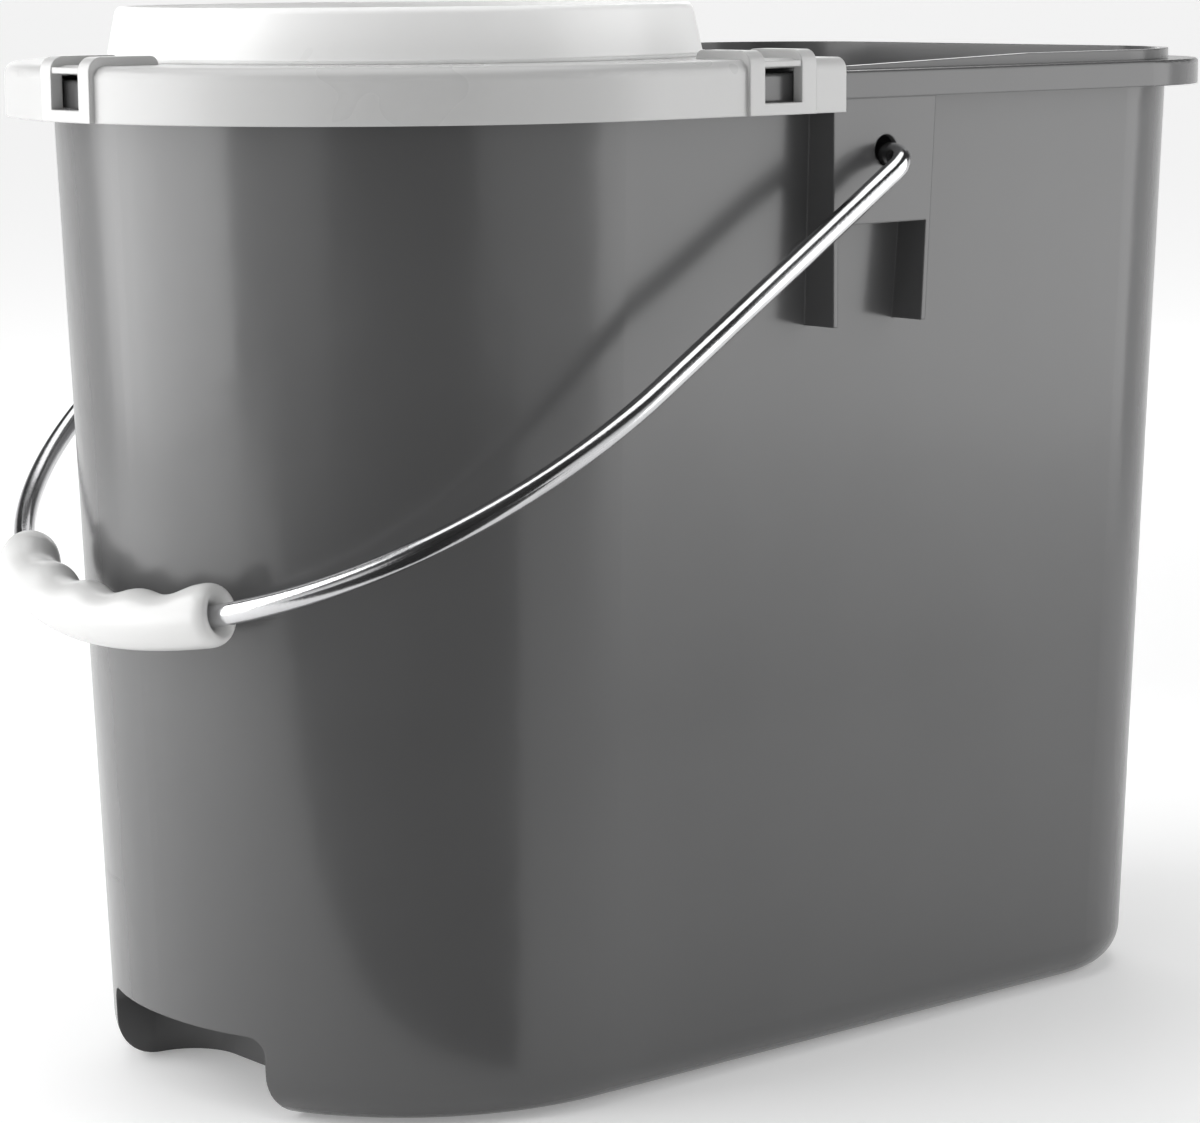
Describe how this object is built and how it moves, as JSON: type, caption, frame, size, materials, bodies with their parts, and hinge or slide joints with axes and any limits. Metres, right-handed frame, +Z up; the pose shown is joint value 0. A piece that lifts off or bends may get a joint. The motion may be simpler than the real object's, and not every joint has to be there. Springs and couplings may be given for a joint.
{
  "type": "mop bucket with wringer",
  "caption": "Oval-ended plastic mop bucket with a clip-on wringer basket at its round end and a steel bail with a moulded hand grip.",
  "frame": {"origin": "on the ground plane, under the middle of the bucket's rim", "axes": "+X along the bucket, away from the wringer end; +Z up; Y across the bucket, along the bail's hinge"},
  "size_m": [0.3578, 0.2396, 0.2985],
  "materials": {
    "bucket_plastic": "mid grey polypropylene, glossy, faint scuffs",
    "wringer_plastic": "white polypropylene, soft gloss",
    "bail_steel": "bright drawn and plated steel wire",
    "grip_plastic": "white moulded plastic, soft gloss"
  },
  "bodies": {
    "bucket": {"bucket_body": "bucket_plastic"},
    "wringer": {"wringer_frame": "wringer_plastic", "wringer_basket": "wringer_plastic"},
    "bail": {"bail_wire": "bail_steel", "bail_grip": "grip_plastic"}
  },
  "joints": [
    {"name": "bail_swing", "type": "hinge", "parent": "bucket", "child": "bail", "pos_m": [0.0152, 0, 0.25735], "axis": [0, 1, 0], "range_deg": [-2, 248]},
    {"name": "wringer_lift", "type": "slide", "parent": "bucket", "child": "wringer", "axis": [0, 0, 1], "range_m": [0, 0.12]}
  ]
}
